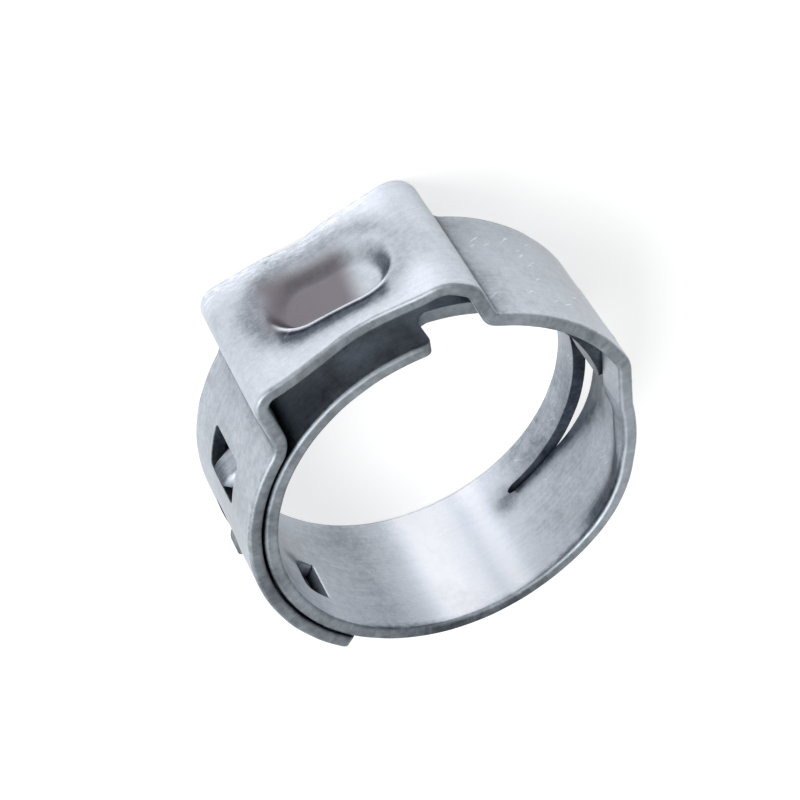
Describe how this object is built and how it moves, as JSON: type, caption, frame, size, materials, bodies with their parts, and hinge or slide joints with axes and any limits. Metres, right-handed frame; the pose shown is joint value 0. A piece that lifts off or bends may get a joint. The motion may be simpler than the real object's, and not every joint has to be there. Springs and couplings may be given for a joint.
{
  "type": "ear hose clamp",
  "caption": "Stepless ear hose clamp rolled from one steel strip, with a crimping ear, overlapping ends, hooks in windows and a tongue under the ear.",
  "frame": {"origin": "on the ring's axis, in the plane of the band edge that the clamp lies on", "axes": "+Z along the ring's axis, up from the edge it lies on; +Y from the axis through the middle of the ear; +X completes the frame"},
  "size_m": [0.0181, 0.0186, 0.007],
  "materials": {
    "stainless": "satin, tumbled"
  },
  "bodies": {
    "root": {"clamp_band": "stainless"}
  },
  "joints": []
}
